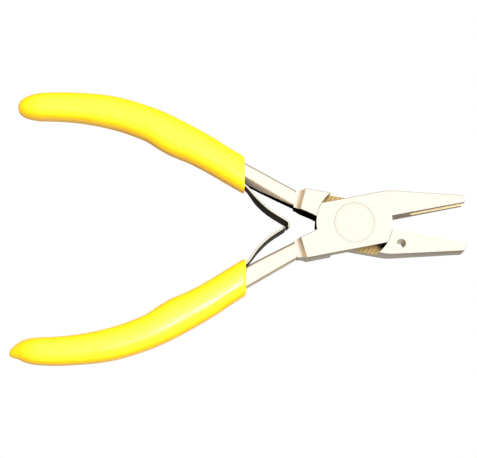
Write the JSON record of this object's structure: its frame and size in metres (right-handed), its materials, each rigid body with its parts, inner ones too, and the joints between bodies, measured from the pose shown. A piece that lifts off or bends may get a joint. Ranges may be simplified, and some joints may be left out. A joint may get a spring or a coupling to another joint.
{
  "type": "jewellery crimping pliers",
  "caption": "Small hand pliers with tapered grooved jaws, a riveted lap joint, leaf springs that open the handles and dipped vinyl grips.",
  "frame": {"origin": "the pivot's axis at the joint's underside", "axes": "+X from the pivot towards the jaw tips, +Y towards the upper handle, +Z along the pivot's axis, out of the joint's top face"},
  "size_m": [0.1229, 0.0758, 0.0092],
  "materials": {
    "forged_steel": "fine satin polish, brighter on the flat faces",
    "rivet_steel": "ground flush with the joint's faces",
    "spring_steel": "smooth rolled strip",
    "yellow_vinyl": "glossy dipped vinyl"
  },
  "bodies": {
    "lower_jaw_side": {"lower_jaw_lever": "forged_steel", "upper_handle_grip": "yellow_vinyl", "upper_leaf_spring": "spring_steel", "upper_spring_rivet": "rivet_steel", "pivot_rivet": "rivet_steel"},
    "upper_jaw_side": {"upper_jaw_lever": "forged_steel", "lower_handle_grip": "yellow_vinyl", "lower_leaf_spring": "spring_steel", "lower_spring_rivet": "rivet_steel"}
  },
  "joints": [
    {"name": "pivot", "type": "hinge", "parent": "lower_jaw_side", "child": "upper_jaw_side", "pos_m": [0, 0, 0], "axis": [0, 0, 1], "range_deg": [-20.5, 0], "stiffness_Nm_per_rad": 1, "springref_deg": 5.16, "deforming": ["upper_leaf_spring", "lower_leaf_spring"]}
  ]
}
